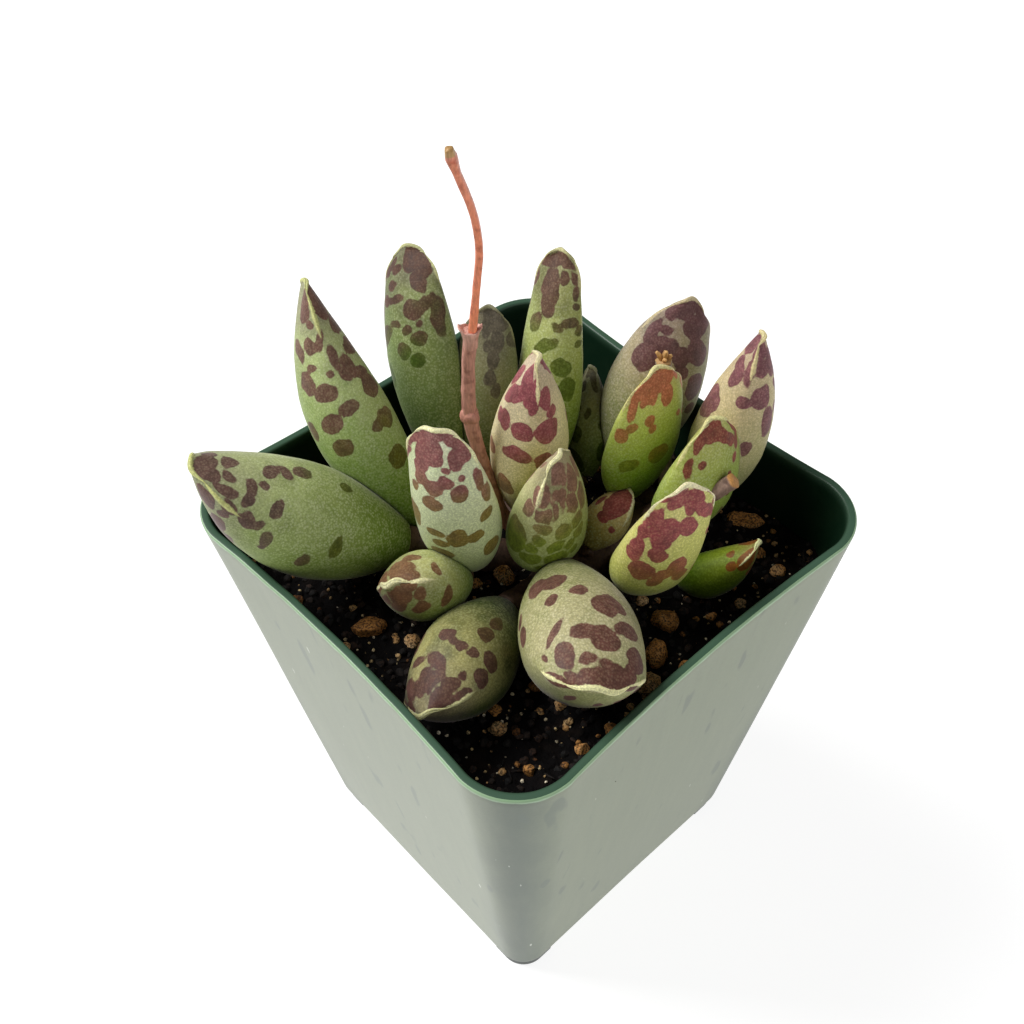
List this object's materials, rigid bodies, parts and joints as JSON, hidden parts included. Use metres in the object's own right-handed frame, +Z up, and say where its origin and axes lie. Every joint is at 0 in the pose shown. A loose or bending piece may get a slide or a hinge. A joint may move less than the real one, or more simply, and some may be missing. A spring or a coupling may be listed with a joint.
{
  "type": "potted plover eggs plant",
  "caption": "Spotted succulent with fat wedge-tipped leaves and a dried flower stalk, growing in a square tapered nursery pot of gritty soil.",
  "frame": {"origin": "middle of the square that the pot's four feet stand on", "axes": "+Z up; X and Y along the pot's sides"},
  "size_m": [0.0636, 0.0647, 0.1229],
  "materials": {
    "pot_plastic": "satin moulded polypropylene",
    "potting_mix": "matt, gritty",
    "stem_bark": "matt bark",
    "dried_stalk": "matt, dried",
    "leaf": "waxy bloom over a fleshy skin"
  },
  "bodies": {
    "root": {"pot": "pot_plastic", "soil": "potting_mix", "stems": "stem_bark", "flower_stalk": "dried_stalk", "cut_stub": "dried_stalk", "dry_stub": "dried_stalk", "leaf_left_lying": "leaf", "leaf_left_tall": "leaf", "leaf_small_left": "leaf", "leaf_front_left_low": "leaf", "leaf_front_right": "leaf", "leaf_front_upright": "leaf", "leaf_small_middle": "leaf", "leaf_middle_young": "leaf", "leaf_centre_pink": "leaf", "leaf_right_red_tip": "leaf", "leaf_right_second": "leaf", "leaf_right_low_blotched": "leaf", "leaf_right_crescent": "leaf", "leaf_right_tall": "leaf", "leaf_back_right_broad": "leaf", "leaf_back_middle": "leaf", "leaf_back_left": "leaf", "leaf_back_shaded": "leaf", "leaf_back_short": "leaf"}
  },
  "joints": []
}
